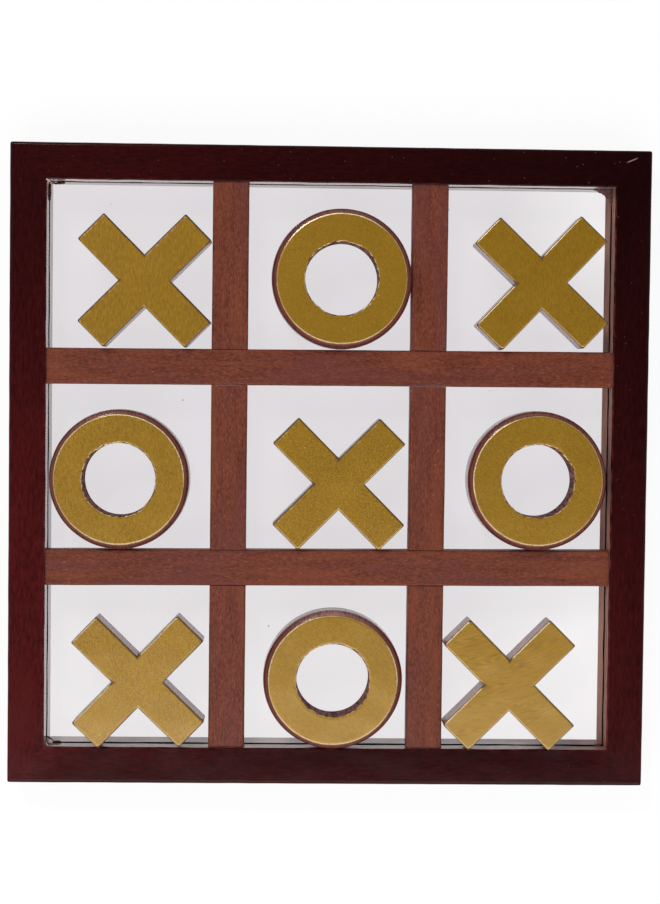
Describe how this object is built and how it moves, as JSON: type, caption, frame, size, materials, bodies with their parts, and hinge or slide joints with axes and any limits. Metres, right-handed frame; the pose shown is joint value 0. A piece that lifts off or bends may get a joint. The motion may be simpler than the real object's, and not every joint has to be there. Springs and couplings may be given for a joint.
{
  "type": "noughts and crosses board",
  "caption": "Square tabletop game board: dark mitred wood frame round a clear pane, wood strips as the grid, and loose gold-faced X and O pieces that lift out of the cells.",
  "frame": {"origin": "centre of the board on the plane of its underside", "axes": "+Z out of the pane's face, with the board lying flat; +Y to the top of the board; +X to its right"},
  "size_m": [0.2546, 0.2546, 0.024],
  "materials": {
    "frame_lacquer": "dark red-brown satin lacquer",
    "strip_wood": "red-brown stained wood, satin lacquer",
    "piece_wood": "red-brown satin lacquer",
    "gold_face": "satin gold",
    "clear_pane": "clear polished"
  },
  "bodies": {
    "board": {"frame_rail_bottom": "frame_lacquer", "frame_rail_right": "frame_lacquer", "frame_rail_top": "frame_lacquer", "frame_rail_left": "frame_lacquer", "glass_pane": "clear_pane", "long_strip_upper": "strip_wood", "long_strip_lower": "strip_wood", "upright_top_left": "strip_wood", "upright_top_right": "strip_wood", "upright_middle_left": "strip_wood", "upright_middle_right": "strip_wood", "upright_bottom_left": "strip_wood", "upright_bottom_right": "strip_wood"},
    "x_top_left": {"x_core_top_left": "piece_wood", "x_face_top_left": "gold_face"},
    "o_top_middle": {"o_core_top_middle": "piece_wood", "o_face_top_middle": "gold_face"},
    "x_top_right": {"x_core_top_right": "piece_wood", "x_face_top_right": "gold_face"},
    "o_middle_left": {"o_core_middle_left": "piece_wood", "o_face_middle_left": "gold_face"},
    "x_centre": {"x_core_centre": "piece_wood", "x_face_centre": "gold_face"},
    "o_middle_right": {"o_core_middle_right": "piece_wood", "o_face_middle_right": "gold_face"},
    "x_bottom_left": {"x_core_bottom_left": "piece_wood", "x_face_bottom_left": "gold_face"},
    "o_bottom_middle": {"o_core_bottom_middle": "piece_wood", "o_face_bottom_middle": "gold_face"},
    "x_bottom_right": {"x_core_bottom_right": "piece_wood", "x_face_bottom_right": "gold_face"}
  },
  "joints": [
    {"name": "lift_x_top_left", "type": "slide", "parent": "board", "child": "x_top_left", "axis": [0, 0, 1], "range_m": [0, 0.04]},
    {"name": "lift_o_top_middle", "type": "slide", "parent": "board", "child": "o_top_middle", "axis": [0, 0, 1], "range_m": [0, 0.04]},
    {"name": "lift_x_top_right", "type": "slide", "parent": "board", "child": "x_top_right", "axis": [0, 0, 1], "range_m": [0, 0.04]},
    {"name": "lift_o_middle_left", "type": "slide", "parent": "board", "child": "o_middle_left", "axis": [0, 0, 1], "range_m": [0, 0.04]},
    {"name": "lift_x_centre", "type": "slide", "parent": "board", "child": "x_centre", "axis": [0, 0, 1], "range_m": [0, 0.04]},
    {"name": "lift_o_middle_right", "type": "slide", "parent": "board", "child": "o_middle_right", "axis": [0, 0, 1], "range_m": [0, 0.04]},
    {"name": "lift_x_bottom_left", "type": "slide", "parent": "board", "child": "x_bottom_left", "axis": [0, 0, 1], "range_m": [0, 0.04]},
    {"name": "lift_o_bottom_middle", "type": "slide", "parent": "board", "child": "o_bottom_middle", "axis": [0, 0, 1], "range_m": [0, 0.04]},
    {"name": "lift_x_bottom_right", "type": "slide", "parent": "board", "child": "x_bottom_right", "axis": [0, 0, 1], "range_m": [0, 0.04]}
  ]
}
